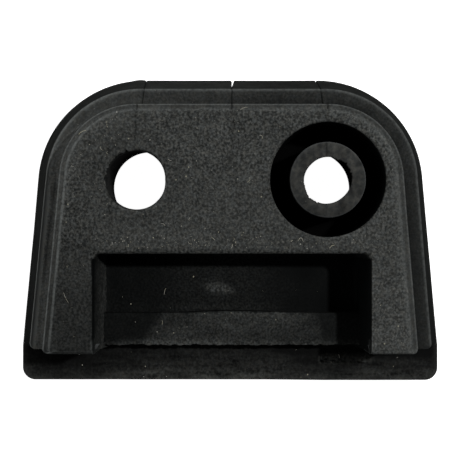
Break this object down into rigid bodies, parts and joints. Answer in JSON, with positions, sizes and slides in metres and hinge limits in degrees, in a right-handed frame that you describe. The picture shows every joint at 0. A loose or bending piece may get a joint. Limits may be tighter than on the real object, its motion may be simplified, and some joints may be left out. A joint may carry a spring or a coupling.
{
  "type": "armrest pad",
  "caption": "D-shaped stepped rubber armrest pad with a bolt hole, a bush standing in a round moat, an open-ended pocket and a lower bar.",
  "frame": {"origin": "centre of the back's bounding rectangle, in the plane of the flat back", "axes": "+X along the straight end, towards the bush; +Y from the straight end towards the arched end; +Z out of the front face, away from the flat back"},
  "size_m": [0.0966, 0.0698, 0.0275],
  "materials": {
    "smooth_rubber": "smooth moulded black rubber, faintly brown, satin",
    "zinc_steel": "zinc-plated sheet",
    "grained_rubber": "matte, finely grained black rubber with dust and lint",
    "bush_rubber": "matte, finely grained black rubber",
    "strip_rubber": "scuffed black rubber with a torn lower edge"
  },
  "bodies": {
    "root": {"rear_plate": "smooth_rubber", "stiffener_plate": "zinc_steel", "pad_body": "grained_rubber", "bolt_bush": "bush_rubber", "pocket_strip": "strip_rubber"}
  },
  "joints": []
}
